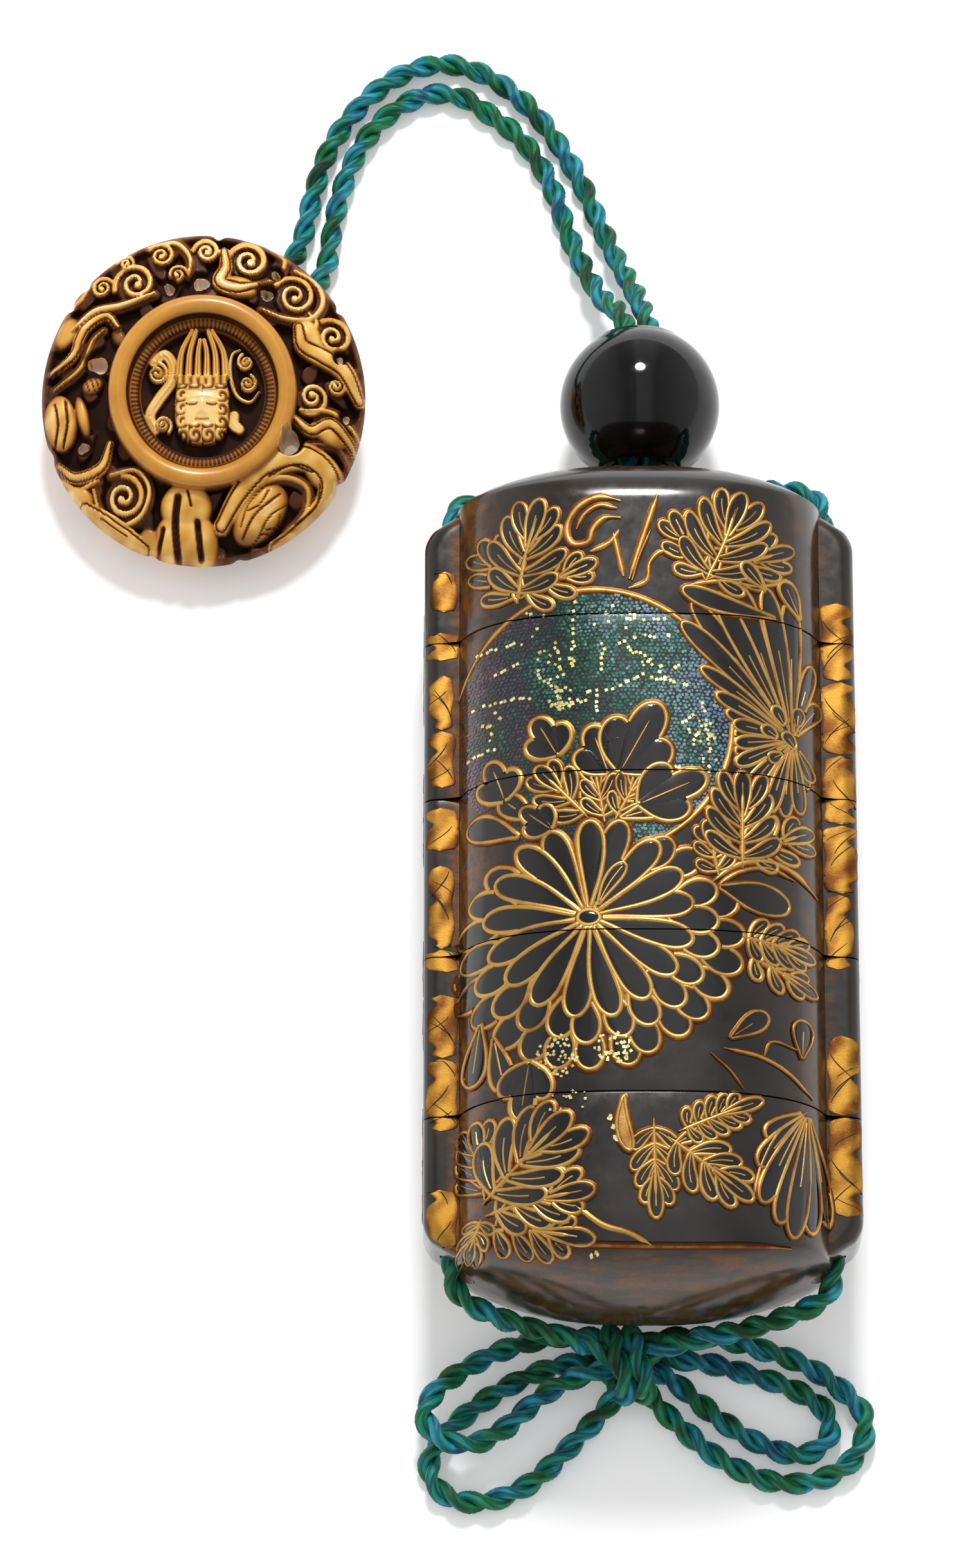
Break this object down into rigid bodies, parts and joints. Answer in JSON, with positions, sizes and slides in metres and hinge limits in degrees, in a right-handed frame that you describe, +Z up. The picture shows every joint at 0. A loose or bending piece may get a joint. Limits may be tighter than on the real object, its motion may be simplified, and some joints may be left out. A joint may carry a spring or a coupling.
{
  "type": "inro case",
  "caption": "Lacquered tiered medicine case lying on its back, with domed ends, side runners for the cord, a round bead, a carved disc toggle and a silk cord tied in a bow.",
  "frame": {"origin": "middle of the flat spot on the case's back, on which it lies", "axes": "+Z up, out of the case's front; +Y from the case's base to its lid; +X across the case to the right, seen from the front"},
  "size_m": [0.093, 0.175, 0.0286],
  "materials": {
    "lacquer": "polished brown-black lacquer over wood, with gold and pearl decoration",
    "black_lacquer": "mirror-polished black lacquer",
    "stained_ivory": "polished honey-coloured carving with dark brown stain in its recesses",
    "silk": "two-ply twisted silk, dyed in changing green, teal and blue"
  },
  "bodies": {
    "root": {"lid": "lacquer", "case_1": "lacquer", "case_2": "lacquer", "case_3": "lacquer", "case_bottom": "lacquer", "ojime_bead": "black_lacquer", "netsuke": "stained_ivory", "cord_upper_left": "silk", "cord_upper_right": "silk", "cord_over_lid_left": "silk", "cord_over_lid_right": "silk", "cord_channel_left": "silk", "cord_channel_right": "silk", "cord_under_base_left": "silk", "cord_under_base_right": "silk", "bow_upper_left": "silk", "bow_lower_left": "silk", "bow_upper_right": "silk", "bow_lower_right": "silk", "cord_knot": "silk"}
  },
  "joints": []
}
